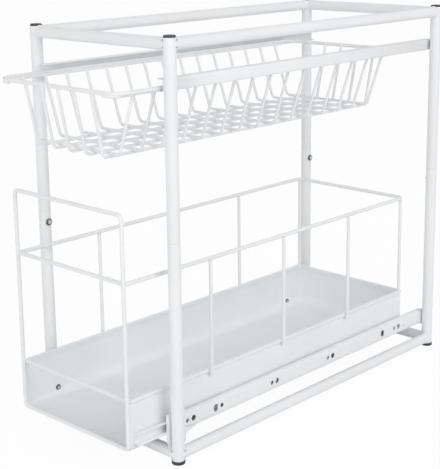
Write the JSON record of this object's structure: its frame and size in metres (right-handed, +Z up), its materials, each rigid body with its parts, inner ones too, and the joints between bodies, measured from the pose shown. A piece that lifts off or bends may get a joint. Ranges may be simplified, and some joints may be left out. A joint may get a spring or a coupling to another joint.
{
  "type": "under sink organizer",
  "caption": "Under-sink organizer: white steel tube frame with a wire basket that slides in rails near the top and a deep sheet drawer with a wire fence on ball slides below.",
  "frame": {"origin": "on the floor under the middle of the whole part as stored, with the basket and the drawer pulled out a little as in the picture; the frame's own middle is 28.25 mm behind it", "axes": "+X to the right seen from the front, +Y to the rear (basket and drawer pull out along -Y), +Z up"},
  "size_m": [0.199, 0.4856, 0.402],
  "materials": {
    "white_coat": "satin white powder coat",
    "white_wire": "satin white powder coat, a little thicker at the welds",
    "black_cap": "moulded plastic, dull",
    "bright_screw": "bright nickel plate",
    "cage_steel": "zinc plated sheet",
    "inner_sleeve": "moulded plastic, hidden inside the posts"
  },
  "bodies": {
    "frame": {"post_lower_front_left": "white_coat", "post_lower_front_right": "white_coat", "post_lower_rear_left": "white_coat", "post_lower_rear_right": "white_coat", "post_upper_front_left": "white_coat", "post_upper_front_right": "white_coat", "post_upper_rear_left": "white_coat", "post_upper_rear_right": "white_coat", "post_joiners": "inner_sleeve", "top_bar_front": "white_coat", "top_bar_rear": "white_coat", "top_bar_left": "white_coat", "top_bar_right": "white_coat", "bottom_bar_front": "white_coat", "bottom_bar_rear": "white_coat", "bottom_bar_left": "white_coat", "bottom_bar_right": "white_coat", "post_caps": "black_cap", "post_feet": "black_cap", "post_lock_screws": "bright_screw", "basket_rail_left": "white_coat", "basket_rail_right": "white_coat", "slide_outer_left": "white_coat", "slide_outer_right": "white_coat", "slide_bracket_front_left": "white_coat", "slide_bracket_front_right": "white_coat", "slide_bracket_rear_left": "white_coat", "slide_bracket_rear_right": "white_coat"},
    "basket": {"basket_rim": "white_wire", "basket_runner_left": "white_wire", "basket_runner_right": "white_wire", "basket_cross_wires": "white_wire", "basket_long_wires": "white_wire"},
    "drawer": {"drawer_tray": "white_coat", "drawer_tray_rim": "white_wire", "drawer_fence_ring": "white_wire", "drawer_front_loop": "white_wire", "drawer_uprights_left": "white_wire", "drawer_uprights_right": "white_wire", "drawer_screws": "bright_screw", "slide_inner_left": "white_coat", "slide_inner_right": "white_coat"},
    "cage_left": {"slide_cage_left": "cage_steel", "slide_balls_left": "bright_screw"},
    "cage_right": {"slide_cage_right": "cage_steel", "slide_balls_right": "bright_screw"}
  },
  "joints": [
    {"name": "basket_slide", "type": "slide", "parent": "frame", "child": "basket", "axis": [0, -1, 0], "range_m": [-0.048, 0.212]},
    {"name": "drawer_slide", "type": "slide", "parent": "frame", "child": "drawer", "axis": [0, -1, 0], "range_m": [-0.039, 0.261]},
    {"name": "cage_left_slide", "type": "slide", "parent": "frame", "child": "cage_left", "axis": [0, -1, 0], "range_m": [-0.0195, 0.1305]},
    {"name": "cage_right_slide", "type": "slide", "parent": "frame", "child": "cage_right", "axis": [0, -1, 0], "range_m": [-0.0195, 0.1305]}
  ],
  "couplings": [
    {"joint": "cage_left_slide", "follows": "drawer_slide", "ratio": 0.5},
    {"joint": "cage_right_slide", "follows": "drawer_slide", "ratio": 0.5}
  ]
}
